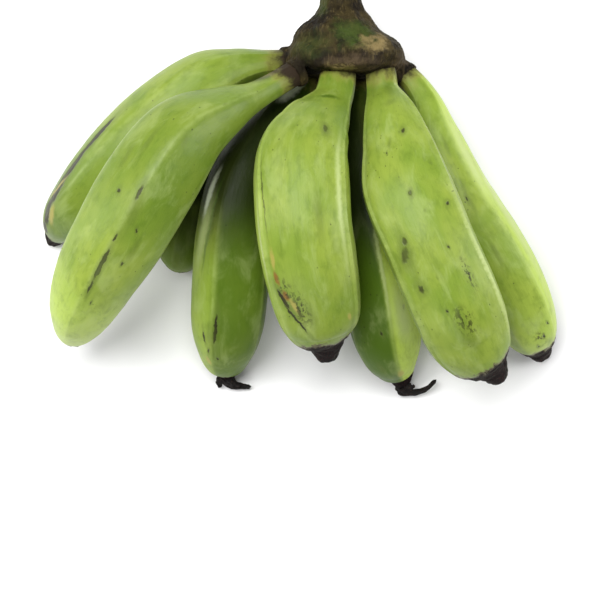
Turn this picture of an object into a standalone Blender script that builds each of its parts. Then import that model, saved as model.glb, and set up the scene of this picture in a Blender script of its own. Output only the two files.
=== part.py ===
"""A hand of green cooking plantains, as cut from the bunch and laid on a table with its outer side up.

Eight fruits, called fingers, grow from one woody crown in two rows. The three fingers of the upper row
lie over the five of the lower row. Each finger is an angular, curved fruit with a stalk at the crown and a
dry, dark knob at its blossom end. Two fingers of the lower row still hold a shrivelled flower.

The table is the plane Z = 0. The crown points to +Y, the fingers to -Y, and the origin lies on the table
under the middle of the hand. All values below are millimetres and degrees; the solids are made in metres.
"""

import math

import bmesh
import bpy
from mathutils import Vector

MM = 0.001

# A finger's rings, as shares of its length from 0, in the crown, to 1, at the blossom end.
RING_SHARES = (
    0.0, 0.04, 0.08, 0.12, 0.155, 0.19, 0.23, 0.28, 0.34, 0.41, 0.49, 0.57,
    0.65, 0.72, 0.78, 0.83, 0.875, 0.915, 0.95, 0.98, 1.0,
)
RIDGES = 5
STEPS_BETWEEN_RIDGES = 5
# A finger is a little less deep than wide.
FINGER_DEPTH = 0.94
# How flat its faces are between the ridges, from 0, round, to 1, flat, as (share, flatness) pairs.
FACE_FLATNESS = ((0.0, 0.30), (0.2, 0.42), (0.5, 0.45), (0.8, 0.40), (0.93, 0.15), (1.0, 0.05))

# Each finger: points along its middle line from the crown to the blossom end, with the radius at each, and
# the angles of its five ridges round that line, counted from straight up towards the finger's own left.
FINGERS = {
    "lower_finger_1": {
        "course": [
            (2, 61, 30, 6.5), (-16, 60, 34, 7), (-30, 57.4, 38, 10.2), (-44.4, 50.8, 41, 15.6),
            (-61.4, 36.4, 41, 19), (-81.4, 17.4, 40, 19.6), (-100.4, -2.8, 32, 18), (-112.3, -13, 20, 13),
            (-118.2, -19.2, 8.5, 7.2), (-121.2, -23.4, 2.5, 4.2),
        ],
        "ridges": (-95, -30, 40, 105, 190),
    },
    "lower_finger_2": {
        "course": [
            (-3, 61, 13, 6.5), (-15, 49, 13, 7.5), (-27, 36, 15, 10), (-38, 20, 16, 13.5),
            (-49, 0, 16.5, 15.5), (-55, -16.5, 16.5, 15.5), (-57.4, -26, 14, 13.7), (-58.5, -32.4, 7.5, 9.3),
            (-59.4, -35.6, 2, 4.8),
        ],
        "ridges": (-80, -10, 60, 130, 205),
    },
    "lower_finger_3": {
        "course": [
            (11, 58, 19, 6.5), (-2, 45, 25, 8), (-12, 34, 31, 10.5), (-19, 19, 38, 14.5),
            (-27, 0, 42, 18), (-31, -24, 42, 19.2), (-32.8, -51, 36, 19.2), (-34.8, -67, 26, 17.8),
            (-36, -78, 15, 13.5), (-36, -85, 7.1, 9), (-36, -89, 4.6, 5.2),
        ],
        "ridges": (-88, -25, 55, 125, 195),
    },
    "lower_finger_4": {
        "course": [
            (28, 60, 14, 6.5), (28, 49, 16, 7.5), (27, 31, 25, 12.5), (29, 9, 34, 16.5),
            (33, -22, 38, 18.5), (37.7, -48, 36, 18.8), (40.6, -65.5, 28.5, 18.3), (43.5, -77, 20, 15.2),
            (46.2, -84, 12, 10.9), (48.3, -88, 7.2, 7.9), (50, -92.5, 4.4, 5.2),
        ],
        "ridges": (-60, 8, 80, 150, 225),
    },
    "lower_finger_5": {
        "course": [
            (42, 59, 28, 6.5), (52, 53, 30, 6.5), (60, 41, 34, 8.2), (64.8, 23, 38, 12.9),
            (75.7, -6, 42, 17.5), (90, -30, 40, 18.9), (100.4, -48, 33.5, 18.3), (109, -63, 22.5, 15.7),
            (113.6, -70.5, 13.6, 11.7), (116, -75, 7.8, 8.2), (118.3, -80, 4.2, 5.2),
        ],
        "ridges": (-35, 38, 100, 165, 245),
    },
    "upper_finger_1": {
        "course": [
            (0, 56, 44, 6.2), (-10, 49.5, 49.5, 6.2), (-22, 42, 57.5, 7.4), (-34, 35.5, 66, 12),
            (-54, 22, 76, 20), (-69.6, -0.3, 79, 22.8), (-82.4, -21.6, 76, 22.6), (-93.6, -39.5, 67, 20.3),
            (-102, -54.5, 53, 16.7), (-107.2, -64.8, 38, 11.3), (-109.4, -70, 28, 6.5),
        ],
        "ridges": (-75, 0, 75, 145, 215),
    },
    "upper_finger_2": {
        "course": [
            (19, 62, 40, 8), (18, 53, 43, 9), (16.5, 45, 47.5, 9.6), (14.8, 40, 51, 10.4),
            (11, 33, 57, 14.2), (6.2, 25, 63, 18.8), (1, 10, 71, 23.5), (1.5, -14, 77, 24),
            (4.3, -35, 74, 23.8), (8.1, -55.2, 64, 21.6), (9.6, -64.4, 58, 17.6), (11, -70.4, 54.5, 12.9),
            (12, -74.2, 52.8, 8.8), (12.5, -80, 51, 5.2),
        ],
        "ridges": (-58, 58, 125, 180, 235),
    },
    "upper_finger_3": {
        "course": [
            (38, 62, 40, 7.5), (38.7, 52, 44, 7.6), (39.5, 44.5, 47.5, 8.4), (42.5, 33, 55, 13.5),
            (46, 17, 63, 18), (50, -2, 71, 22), (60, -27, 76, 22), (71.7, -53.5, 72, 22.4),
            (78, -67.4, 64, 21), (83.4, -76.4, 57.5, 17.5), (87.5, -81.8, 53.5, 12.9), (90.6, -85.4, 51.5, 8.6),
            (93.8, -89.8, 49.5, 5.2),
        ],
        "ridges": (-66, 62, 120, 175, 235),
    },
}

# The crown, from its cut end down to the face that the stalks leave: middle, half width and half thickness.
CROWN_SECTIONS = (
    ((19.5, 99.0, 34.0), 9.2, 9.5),
    ((19.5, 97.5, 34.0), 9.8, 10.0),
    ((19.5, 91.0, 34.0), 10.0, 10.5),
    ((19.5, 86.0, 33.5), 11.2, 12.5),
    ((19.0, 81.0, 33.0), 14.8, 16.5),
    ((18.3, 75.5, 32.0), 20.2, 21.5),
    ((21.7, 70.5, 31.0), 25.3, 25.5),
    ((22.3, 65.0, 29.5), 29.0, 31.0),
    ((22.0, 60.5, 29.0), 29.6, 31.5),
    ((22.5, 57.0, 29.0), 26.5, 30.0),
    ((23.0, 54.5, 29.5), 19.0, 20.0),
)
CROWN_STEPS = 30
CROWN_RINGS_PER_SECTION = 2
CROWN_BULGE = 1.5
# Waves round the crown: how many, how high against its radius, and their twist in radians for each section.
# They grow to full height over the first sections, so the cut end is round.
CROWN_LOBES = ((3, 0.035, 0.6), (7, 0.025, -0.9))
ROUND_SECTIONS = 3
SOCKET_GAP = 0.35

# The two dry flowers: points from the blossom end outwards, with the radius at each.
FLOWERS = {
    "dried_flower_3": [
        (-36, -90.4, 4.6, 4), (-36, -92.8, 3.7, 3.2), (-31, -95, 3, 1.8), (-23.5, -95.5, 3, 0.9),
    ],
    "dried_flower_4": [
        (50.5, -94.4, 4.2, 3.7), (51.2, -96.6, 3.8, 3), (56, -98, 4, 1.6), (62, -96.5, 5, 1.3),
        (67, -91.5, 7, 1),
    ],
}
FLOWER_STEPS = 9
FLOWER_RINGS = 12
FLOWER_FOLDS = 3
FLOWER_FOLD_HEIGHT = 0.16
FLOWER_TWIST = 9
FLOWER_BASE_BULGE = 0.3
FLOWER_TIP_BULGE = 0.8

SPLINE_STEPS = 24

COLOURS = {
    "green_peel": ((0.36, 0.46, 0.09), 0.45),
    "brown_crown": ((0.09, 0.065, 0.03), 0.8),
    "dry_flower": ((0.02, 0.016, 0.013), 0.9),
}


def smooth_line(points):
    """Points on one smooth curve through the given points, a Catmull-Rom spline."""
    points = [Vector(p) for p in points]
    ends = [2 * points[0] - points[1], *points, 2 * points[-1] - points[-2]]
    line = []
    for before, start, end, after in zip(ends, ends[1:], ends[2:], ends[3:]):
        for step in range(SPLINE_STEPS):
            u = step / SPLINE_STEPS
            line.append(
                start
                + 0.5 * u * (end - before)
                + 0.5 * u**2 * (2 * before - 5 * start + 4 * end - after)
                + 0.5 * u**3 * (3 * start - before - 3 * end + after)
            )
    return [*line, points[-1]]


def smooth_value(table, x):
    """The value at x of a smooth curve through a table of (x, value) pairs."""
    last = len(table) - 1
    i = max(k for k in range(last) if table[k][0] <= max(x, table[0][0]))

    def slope(k):
        low, high = table[max(k - 1, 0)], table[min(k + 1, last)]
        return (high[1] - low[1]) / (high[0] - low[0])

    (x0, y0), (x1, y1) = table[i], table[i + 1]
    width = x1 - x0
    u = min(max((x - x0) / width, 0.0), 1.0)
    return (
        (2 * u**3 - 3 * u**2 + 1) * y0
        + (u**3 - 2 * u**2 + u) * width * slope(i)
        + (3 * u**2 - 2 * u**3) * y1
        + (u**3 - u**2) * width * slope(i + 1)
    )


class Course:
    """A middle line with the radius along it, and an upright direction that turns as little as it can."""

    def __init__(self, points):
        smooth = smooth_line(points)
        self.line = [point.to_3d() for point in smooth]
        self.radii = [point.w for point in smooth]
        self.lengths = [0.0]
        for a, b in zip(self.line, self.line[1:]):
            self.lengths.append(self.lengths[-1] + (b - a).length)
        ahead = [*self.line[1:], self.line[-1]]
        behind = [self.line[0], *self.line[:-1]]
        self.tangents = [(b - a).normalized() for a, b in zip(behind, ahead)]
        middle = len(self.line) // 2
        self.ups = {middle: self.square(Vector((0, 0, 1)), middle)}
        for i in range(middle + 1, len(self.line)):
            self.ups[i] = self.square(self.ups[i - 1], i)
        for i in range(middle - 1, -1, -1):
            self.ups[i] = self.square(self.ups[i + 1], i)

    def square(self, direction, i):
        """The direction turned square to the line at its point i."""
        return (direction - direction.dot(self.tangents[i]) * self.tangents[i]).normalized()

    def at(self, share):
        """The point at this share, its radius, and the directions up, to the side and along there."""
        wanted = min(max(share, 0.0), 1.0) * self.lengths[-1]
        i = max(k for k in range(len(self.lengths) - 1) if self.lengths[k] <= wanted)
        u = (wanted - self.lengths[i]) / (self.lengths[i + 1] - self.lengths[i])
        along = self.tangents[i].lerp(self.tangents[i + 1], u).normalized()
        up = self.ups[i].lerp(self.ups[i + 1], u)
        up = (up - up.dot(along) * along).normalized()
        radius = self.radii[i] + u * (self.radii[i + 1] - self.radii[i])
        return self.line[i].lerp(self.line[i + 1], u), radius, up, up.cross(along), along


def material(name):
    colour, roughness = COLOURS[name]
    made = bpy.data.materials.get(name) or bpy.data.materials.new(name)
    made.use_nodes = True
    shader = made.node_tree.nodes["Principled BSDF"]
    shader.inputs["Base Color"].default_value = (*colour, 1)
    shader.inputs["Roughness"].default_value = roughness
    shader.inputs["Metallic"].default_value = 0.0
    made.diffuse_color = (*colour, 1)
    return made


def moulded(name, steps, rings, place, root, collection, finish):
    """A UV sphere whose points are moved onto a form: place(ring, step) gives each point, in millimetres.

    Ring 0 and the last ring are the sphere's poles. The object's own origin is at the form's root. Nothing
    reaches below the table, so a low spot is flat there.
    """
    mesh = bpy.data.meshes.new(name)
    ball = bmesh.new()
    bmesh.ops.create_uvsphere(ball, u_segments=steps, v_segments=rings, radius=1)
    for vertex in ball.verts:
        ring = round(math.acos(max(-1, min(1, vertex.co.z))) / math.pi * rings)
        step = round(math.atan2(vertex.co.y, vertex.co.x) / math.tau * steps) % steps
        point = place(ring, step)
        point.z = max(point.z, 0.0)
        vertex.co = (point - root) * MM
    ball.to_mesh(mesh)
    ball.free()
    mesh.materials.append(material(finish))
    mesh.shade_smooth()
    made = bpy.data.objects.new(name, mesh)
    made.location = root * MM
    collection.objects.link(made)
    return made


def ridged_section(ridges, step, share):
    """A step's angle round the finger, in radians, and the radius there against 1 on a ridge."""
    face, place = divmod(step, STEPS_BETWEEN_RIDGES)
    start = ridges[face]
    end = ridges[face + 1] if face + 1 < RIDGES else ridges[0] + 360
    half = math.radians(end - start) / 2
    off_middle = half * (2 * place / STEPS_BETWEEN_RIDGES - 1)
    chord = math.cos(half) / math.cos(off_middle)
    flatness = smooth_value(FACE_FLATNESS, share)
    return math.radians((start + end) / 2) + off_middle, 1 - flatness * (1 - chord)


def make_finger(name, collection, grown=0.0):
    """One finger. A grown one is the cutter for its socket in the crown."""
    finger = FINGERS[name]
    course = Course(finger["course"])
    last = len(RING_SHARES) + 1

    def place(ring, step):
        share = RING_SHARES[min(max(ring, 1), last - 1) - 1]
        middle, radius, up, side, along = course.at(share)
        if ring in (0, last):
            return middle + along * grown * (1 if ring else -1)
        angle, section = ridged_section(finger["ridges"], step, share)
        radius = radius * section + grown
        outward = FINGER_DEPTH * math.cos(angle) * up + math.sin(angle) * side
        end = (ring == last - 1) - (ring == 1)
        return middle + radius * outward + along * grown * end

    steps = RIDGES * STEPS_BETWEEN_RIDGES
    return moulded(name, steps, last, place, course.line[0], collection, "green_peel")


def make_crown(collection):
    """The woody crown, narrow at the cut and thick where the stalks leave it, with uneven lobes."""
    last = CROWN_RINGS_PER_SECTION * (len(CROWN_SECTIONS) - 1) + 2
    middles = [Vector(middle) for middle, width, depth in CROWN_SECTIONS]
    middle_tables = [list(enumerate(middle[axis] for middle in middles)) for axis in range(3)]
    widths = list(enumerate(width for middle, width, depth in CROWN_SECTIONS))
    depths = list(enumerate(depth for middle, width, depth in CROWN_SECTIONS))

    def place(ring, step):
        if ring == 0:
            return middles[0].copy()
        if ring == last:
            return middles[-1] - Vector((0, CROWN_BULGE, 0))
        section = (ring - 1) / CROWN_RINGS_PER_SECTION
        angle = math.tau * step / CROWN_STEPS
        waves = [high * math.cos(count * angle + twist * section) for count, high, twist in CROWN_LOBES]
        size = 1 + sum(waves) * min(1, section / ROUND_SECTIONS)
        across = size * smooth_value(widths, section) * math.sin(angle)
        height = size * smooth_value(depths, section) * math.cos(angle)
        middle = Vector([smooth_value(table, section) for table in middle_tables])
        return middle + Vector((across, 0, height))

    return moulded("crown", CROWN_STEPS, last, place, middles[0], collection, "brown_crown")


def cut_sockets(crown, cutters):
    """A socket in the crown for each stalk, a small gap wider than the stalk."""
    for name in FINGERS:
        cutter = make_finger(name, cutters, grown=SOCKET_GAP)
        cutter.name = name + "_socket"
        cutter.hide_render = True
        cutter.display_type = "WIRE"
        cut = crown.modifiers.new(cutter.name, "BOOLEAN")
        cut.operation = "DIFFERENCE"
        cut.solver = "EXACT"
        cut.object = cutter


def make_flower(name, collection):
    """A shrivelled flower: a crumpled base on the blossom end that thins to the dry style."""
    course = Course(FLOWERS[name])
    last = FLOWER_RINGS + 1

    def place(ring, step):
        share = (min(max(ring, 1), last - 1) - 1) / (FLOWER_RINGS - 1)
        middle, radius, up, side, along = course.at(share)
        if ring in (0, last):
            return middle + along * (FLOWER_TIP_BULGE if ring else -FLOWER_BASE_BULGE)
        angle = math.tau * step / FLOWER_STEPS
        fold = FLOWER_FOLD_HEIGHT * (1 - share) * math.cos(FLOWER_FOLDS * angle + FLOWER_TWIST * share)
        return middle + radius * (1 + fold) * (math.cos(angle) * up + math.sin(angle) * side)

    return moulded(name, FLOWER_STEPS, last, place, course.line[0], collection, "dry_flower")


def main():
    for old in list(bpy.data.objects):
        bpy.data.objects.remove(old)
    hand = bpy.data.collections.new("plantain_hand")
    cutters = bpy.data.collections.new("socket_cutters")
    cutters.hide_render = True
    for collection in (hand, cutters):
        bpy.context.scene.collection.children.link(collection)
    for name in FINGERS:
        make_finger(name, hand)
    cut_sockets(make_crown(hand), cutters)
    for name in FLOWERS:
        make_flower(name, hand)


if __name__ == "__main__":
    main()
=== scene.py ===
"""Looks for a hand of green cooking plantains, laid on a table with its outer side up.

Eight fruits, called fingers, grow from one woody crown in two rows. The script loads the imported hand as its
frame, replaces each solid with a finer piece of the same form, and adds the finishes, the table, the lights
and the camera, which looks straight down.

It is laid out as an add-on: the sizes and colours that a user would change are properties, and each group of
pieces has its own operator. Lengths in the tables are millimetres, angles are degrees.
"""

import math
from functools import reduce

import bmesh
import bpy
from bpy.props import FloatProperty, FloatVectorProperty, IntProperty, PointerProperty
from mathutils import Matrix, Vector, noise


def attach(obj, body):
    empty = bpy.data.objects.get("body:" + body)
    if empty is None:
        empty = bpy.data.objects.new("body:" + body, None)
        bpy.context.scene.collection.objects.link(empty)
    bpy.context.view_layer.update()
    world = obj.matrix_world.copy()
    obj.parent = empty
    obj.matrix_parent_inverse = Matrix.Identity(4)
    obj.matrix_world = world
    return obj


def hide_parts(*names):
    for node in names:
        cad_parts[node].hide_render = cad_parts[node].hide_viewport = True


bl_info = {
    "name": "Plantain Hand",
    "version": (1, 0, 0),
    "blender": (4, 5, 0),
    "location": "View3D > Sidebar > Plantain Hand",
    "description": "Dresses the packed solids of a plantain hand with detailed pieces and finishes",
    "category": "Add Mesh",
}

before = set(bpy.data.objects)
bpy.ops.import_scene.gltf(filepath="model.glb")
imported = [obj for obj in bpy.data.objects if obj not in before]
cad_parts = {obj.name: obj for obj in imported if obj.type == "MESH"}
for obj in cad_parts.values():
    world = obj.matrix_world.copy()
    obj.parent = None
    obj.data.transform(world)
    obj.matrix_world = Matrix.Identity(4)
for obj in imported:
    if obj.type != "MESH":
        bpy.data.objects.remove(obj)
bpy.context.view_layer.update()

MM = 0.001
BODY = "root"

# How smooth the fingers are: points between two ridges, rings along the peel, and rings over the dry end.
STEPS_BETWEEN_RIDGES = 24
PEEL_RINGS = 210
END_RINGS = 12
RIDGES = 5
# How much closer the rings stand near both ends, and the points near the ridges, from 0 to 1.
END_CROWDING = 0.72
RIDGE_CROWDING = 0.6
# A finger is a little less deep than wide.
FINGER_DEPTH = 0.94
# How flat the faces are between the ridges, from 0, round, to 1, flat, as (share of length, flatness) pairs.
FACE_FLATNESS = ((0.0, 0.30), (0.2, 0.42), (0.5, 0.45), (0.8, 0.40), (0.93, 0.15), (1.0, 0.05))
# How far the rounding of a ridge reaches to each side, and the width of the thin line on it, in radians.
RIDGE_ROUNDING = 0.22
RIDGE_LINE = 0.06
# How far the tones of two faces blend to each side of their ridge, in degrees.
TONE_BLENDING = 9
# How strong the ridge line is along the finger, as (share of length, strength) pairs.
RIDGE_STRENGTH = ((0.0, 0.5), (0.15, 0.9), (0.5, 1.0), (0.85, 0.8), (0.95, 0.2), (1.0, 0.0))
# Grain sizes of a finger's unevenness in millimetres, across, across and along it.
SWELLS = (26, 26, 26)
SMALL_SWELLS = (9, 9, 9)
STALK_FOLDS = (2.6, 2.6, 24)
END_WRINKLES = (1.5, 1.5, 5)
END_LUMPS = (2.8, 2.8, 2.8)
# The small swells against the broad ones, and the heights of the rest in millimetres.
SMALL_SWELL_SHARE = 0.35
FOLD_HEIGHT = 0.28
WRINKLE_HEIGHT = 0.45
LUMP_HEIGHT = 0.5
END_SHRINKING = 0.25
# How far past its brown base a stalk is folded, in millimetres.
FOLDS_REACH = 24
# The dry end's closing face, as (share of the way to its middle, height) pairs: round, with a small hollow.
END_FACE = ((0.0, 0.0), (0.08, 0.75), (0.2, 1.35), (0.4, 1.7), (0.6, 1.5), (0.8, 0.9), (1.0, 0.5))

# Each finger: points along its middle line from the crown to the blossom end, with the radius at each; the
# angles of its ridges, counted from straight up towards its own left; the tone of the face after each ridge,
# from -1, deep green, to 1, light green, partly the peel's own tone and partly painted light and shade on
# faces that the light reaches or misses; the tone added along it, as (share of length, tone) pairs, also
# partly painted light and shade; for a finger whose stalk is deep between others, how far that stalk is
# darkened by painted shade and where it is green again; how far its brown stalk base and its dry end reach;
# and its marks, as (kind, share of length, angle, length, width, turn) with the turn counted from the
# finger's direction and left out where it is 0.
FINGERS = {
    "lower_finger_1": {
        "course": [
            (2, 61, 30, 6.5), (-16, 60, 34, 7), (-30, 57.4, 38, 10.2), (-44.4, 50.8, 41, 15.6),
            (-61.4, 36.4, 41, 19), (-81.4, 17.4, 40, 19.6), (-100.4, -2.8, 32, 18), (-112.3, -13, 20, 13),
            (-118.2, -19.2, 8.5, 7.2), (-121.2, -23.4, 2.5, 4.2),
        ],
        "ridges": (-95, -30, 40, 105, 190),
        "tones": (-0.1, -0.1, -0.35, -0.4, -0.3),
        "tones_along": ((0.0, -0.1), (0.3, -0.1), (0.6, -0.2), (0.85, -0.5), (1.0, -0.5)),
        "stalk_base": 12,
        "dry_end": 7,
        "marks": [
            ("slit", 0.60, -58, 24, 4.5), ("slit", 0.70, -56, 26, 5.5, 5), ("slit", 0.78, -50, 20, 7, 18),
            ("slit", 0.85, -37, 17, 6.5, 28), ("slit", 0.905, -23, 9, 5, 28), ("tan", 0.84, -22, 16, 5, 30),
            ("bruise", 0.62, -50, 16, 4), ("bruise", 0.76, -42, 12, 5, 10),
            ("spot", 0.81, -48, 2.4, 1.4, 10), ("tan", 0.78, -54, 22, 3, -6),
        ],
    },
    "lower_finger_2": {
        "course": [
            (-3, 61, 13, 6.5), (-15, 49, 13, 7.5), (-27, 36, 15, 10), (-38, 20, 16, 13.5),
            (-49, 0, 16.5, 15.5), (-55, -16.5, 16.5, 15.5), (-57.4, -26, 14, 13.7), (-58.5, -32.4, 7.5, 9.3),
            (-59.4, -35.6, 2, 4.8),
        ],
        "ridges": (-80, -10, 60, 130, 205),
        "tones": (-0.8, -0.7, -0.6, -0.5, -0.6),
        "tones_along": ((0.0, 0.0), (0.6, 0.0), (0.9, 0.3), (1.0, 0.3)),
        "shade": (82, 126),
        "stalk_base": 8,
        "dry_end": 5,
        "marks": [("bruise", 0.72, 10, 14, 8), ("spot", 0.60, -30, 3, 2)],
    },
    "lower_finger_3": {
        "course": [
            (11, 58, 19, 6.5), (-2, 45, 25, 8), (-12, 34, 31, 10.5), (-19, 19, 38, 14.5),
            (-27, 0, 42, 18), (-31, -24, 42, 19.2), (-32.8, -51, 36, 19.2), (-34.8, -67, 26, 17.8),
            (-36, -78, 15, 13.5), (-36, -85, 7.1, 9), (-36, -89, 4.6, 5.2),
        ],
        "ridges": (-88, -25, 55, 125, 195),
        "tones": (0.25, -0.75, -0.6, -0.4, -0.3),
        "tones_along": ((0.0, 0.0), (0.6, 0.0), (0.85, 0.1), (1.0, 0.1)),
        "shade": (78, 116),
        "stalk_base": 6,
        "dry_end": 4.5,
        "marks": [
            # The wax and the first pale mark are painted highlights along the left outline, the second pale
            # mark is a painted glint on the stalk, and the crease is a painted shade line beside them.
            ("wax", 0.54, -56, 46, 13, -10), ("pale", 0.455, -57, 26, 6.5, -10),
            ("crease", 0.53, -43, 52, 3.2, -8), ("pale", 0.12, -14, 26, 8), ("slit", 0.772, -18, 16, 2.0),
            ("slit", 0.802, -37, 7, 1.5, 17), ("spot", 0.84, -28, 3, 1.6), ("bruise", 0.79, -26, 18, 9),
            ("spot", 0.86, -12, 2.2, 1.4, 30), ("tan", 0.88, -30, 8, 4, 20),
        ],
    },
    "lower_finger_4": {
        "course": [
            (28, 60, 14, 6.5), (28, 49, 16, 7.5), (27, 31, 25, 12.5), (29, 9, 34, 16.5),
            (33, -22, 38, 18.5), (37.7, -48, 36, 18.8), (40.6, -65.5, 28.5, 18.3), (43.5, -77, 20, 15.2),
            (46.2, -84, 12, 10.9), (48.3, -88, 7.2, 7.9), (50, -92.5, 4.4, 5.2),
        ],
        "ridges": (-60, 8, 80, 150, 225),
        "tones": (-1.0, 1.0, 0.4, -0.3, -1.0),
        "tones_along": ((0.0, 0.0), (0.6, 0.0), (1.0, 0.1)),
        "shade": (72, 108),
        "stalk_base": 6,
        "dry_end": 6,
        "marks": [
            # The two wax marks are a painted highlight on the ridge and painted light on the face beside it.
            ("wax", 0.60, 8, 60, 3.2), ("wax", 0.72, 30, 40, 16, 8), ("bruise", 0.50, 18, 14, 3),
            ("spot", 0.75, -8, 3, 1.6, 20), ("tan", 0.89, 10, 8, 5), ("bruise", 0.86, -24, 12, 6, 20),
            ("spot", 0.70, 34, 2.2, 1.4),
        ],
    },
    "lower_finger_5": {
        "course": [
            (42, 59, 28, 6.5), (52, 53, 30, 6.5), (60, 41, 34, 8.2), (64.8, 23, 38, 12.9),
            (75.7, -6, 42, 17.5), (90, -30, 40, 18.9), (100.4, -48, 33.5, 18.3), (109, -63, 22.5, 15.7),
            (113.6, -70.5, 13.6, 11.7), (116, -75, 7.8, 8.2), (118.3, -80, 4.2, 5.2),
        ],
        "ridges": (-35, 38, 100, 165, 245),
        "tones": (0.05, 0.75, 0.4, -0.3, -0.5),
        "tones_along": ((0.0, 0.2), (0.3, 0.2), (0.6, 0.0), (0.85, 0.5), (1.0, 0.5)),
        "stalk_base": 9,
        "dry_end": 14,
        "marks": [
            ("bruise", 0.30, 14, 16, 4), ("bruise", 0.44, 12, 22, 3), ("spot", 0.45, 8, 3, 1.2),
            ("spot", 0.86, 12, 2, 1.6), ("spot", 0.83, 30, 2.4, 1.2, 20), ("bruise", 0.60, 5, 20, 4),
            ("spot", 0.88, -6, 1.8, 1.2), ("bruise", 0.89, 20, 8, 5), ("speckled", 0.86, 4, 14, 9),
            # The two wax marks below are painted highlights along the bright right side.
            ("bruise", 0.17, -30, 10, 2.4), ("wax", 0.34, 48, 84, 14), ("wax", 0.50, 68, 100, 13, -5),
        ],
    },
    "upper_finger_1": {
        "course": [
            (0, 56, 44, 6.2), (-10, 49.5, 49.5, 6.2), (-22, 42, 57.5, 7.4), (-34, 35.5, 66, 12),
            (-54, 22, 76, 20), (-69.6, -0.3, 79, 22.8), (-82.4, -21.6, 76, 22.6), (-93.6, -39.5, 67, 20.3),
            (-102, -54.5, 53, 16.7), (-107.2, -64.8, 38, 11.3), (-109.4, -70, 28, 6.5),
        ],
        "ridges": (-75, 0, 75, 145, 215),
        "tones": (-0.15, -0.3, -0.4, -0.5, 0.0),
        # The tone rising at the tip is painted light.
        "tones_along": ((0.0, -0.1), (0.25, -0.2), (0.5, -0.25), (0.68, 0.15), (0.82, 0.85), (1.0, 1.0)),
        "stalk_base": 10,
        "dry_end": 4,
        "marks": [
            # The first mark is painted shade on the lower side of the stalk.
            ("latex", 0.075, -70, 34, 12), ("slit", 0.672, 3, 17, 2.4, 3), ("bruise", 0.69, 4, 32, 5, 4),
            ("slit", 0.728, 5, 8, 1.4, 6), ("spot", 0.615, 1, 4, 1.6, 5), ("spot", 0.518, -1, 9, 2.2, 6),
            ("bruise", 0.56, 6, 30, 9, 5), ("spot", 0.535, -26, 3, 2.2, 39), ("bruise", 0.255, -1, 5, 2.6),
            ("spot", 0.655, 26, 2, 1.4), ("spot", 0.765, 16, 2, 1.2), ("bruise", 0.42, -30, 22, 5),
            ("bruise", 0.62, 30, 18, 6, 10), ("bruise", 0.47, -46, 20, 6, 8),
            ("bruise", 0.38, 10, 12, 5, 20), ("spot", 0.585, 20, 3, 1.4, 30),
        ],
    },
    "upper_finger_2": {
        "course": [
            (19, 62, 40, 8), (18, 53, 43, 9), (16.5, 45, 47.5, 9.6), (14.8, 40, 51, 10.4),
            (11, 33, 57, 14.2), (6.2, 25, 63, 18.8), (1, 10, 71, 23.5), (1.5, -14, 77, 24),
            (4.3, -35, 74, 23.8), (8.1, -55.2, 64, 21.6), (9.6, -64.4, 58, 17.6), (11, -70.4, 54.5, 12.9),
            (12, -74.2, 52.8, 8.8), (12.5, -80, 51, 5.2),
        ],
        "ridges": (-58, 58, 125, 180, 235),
        "tones": (-0.02, 0.3, -0.2, -0.3, 0.6),
        "tones_along": ((0.0, -0.1), (0.25, -0.35), (0.5, 0.0), (0.85, -0.3), (1.0, -0.3)),
        "stalk_base": 7.5,
        "dry_end": 13,
        "marks": [
            ("bruise", 0.32, 27, 16, 9, 32), ("spot", 0.315, 25, 5, 3.4, 32),
            # The crease below is painted shade where the stalk meets the shoulder.
            ("crease", 0.187, -2, 17, 4.2, 112), ("line", 0.50, -54, 46, 1.3, 4),
            ("tan", 0.645, -50, 11, 3.4), ("rust", 0.69, -49, 8, 3.6, 12),
            ("slit", 0.745, -46, 12, 2.6, 28), ("slit", 0.805, -35, 20, 1.8, 32),
            ("tan", 0.765, -33, 12, 4, 24), ("bruise", 0.77, -31, 22, 11, 24),
            ("speckled", 0.72, -40, 18, 11, 40), ("speckled", 0.775, -24, 28, 15, 14),
            ("tan", 0.833, 45, 4.5, 2.6, 10), ("bruise", 0.56, 20, 30, 10),
            # The two wax marks below are painted highlights along both outlines.
            ("bruise", 0.80, -12, 22, 10, 10), ("wax", 0.60, -64, 60, 5), ("wax", 0.50, 50, 90, 5),
            ("rust", 0.735, -42, 7, 4, 30),
        ],
    },
    "upper_finger_3": {
        "course": [
            (38, 62, 40, 7.5), (38.7, 52, 44, 7.6), (39.5, 44.5, 47.5, 8.4), (42.5, 33, 55, 13.5),
            (46, 17, 63, 18), (50, -2, 71, 22), (60, -27, 76, 22), (71.7, -53.5, 72, 22.4),
            (78, -67.4, 64, 21), (83.4, -76.4, 57.5, 17.5), (87.5, -81.8, 53.5, 12.9),
            (90.6, -85.4, 51.5, 8.6), (93.8, -89.8, 49.5, 5.2),
        ],
        "ridges": (-66, 62, 120, 175, 235),
        "tones": (-0.05, 0.1, -0.2, -0.3, -0.3),
        "tones_along": ((0.0, -0.4), (0.18, -0.15), (0.4, 0.0), (0.6, -0.15), (1.0, -0.15)),
        "stalk_base": 7.5,
        "dry_end": 14.5,
        "marks": [
            # The two wax marks are a painted highlight along the lit ridge at the right outline, and the
            # bruise at share 0.09 is painted shade on the stalk's upper left.
            ("wax", 0.69, 62, 128, 2.6), ("wax", 0.10, 62, 36, 4), ("bruise", 0.175, 10, 14, 5, 100),
            ("spot", 0.27, 18, 4.2, 2.8, -34), ("bruise", 0.09, -38, 32, 11), ("bruise", 0.12, 20, 26, 8),
            ("spot", 0.443, 0, 3.4, 2.6, -30), ("bruise", 0.443, 0, 7, 5, -30),
            ("spot", 0.538, -39, 4.2, 3.4, -40), ("spot", 0.565, -47, 9, 4.8, -40),
            ("spot", 0.65, -44, 4.8, 4), ("spot", 0.495, 48, 3, 2.4, -41), ("bruise", 0.492, 11, 4, 3, -41),
            ("bruise", 0.375, 47, 4, 3, -23), ("bruise", 0.64, -13, 4, 3, -24),
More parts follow.
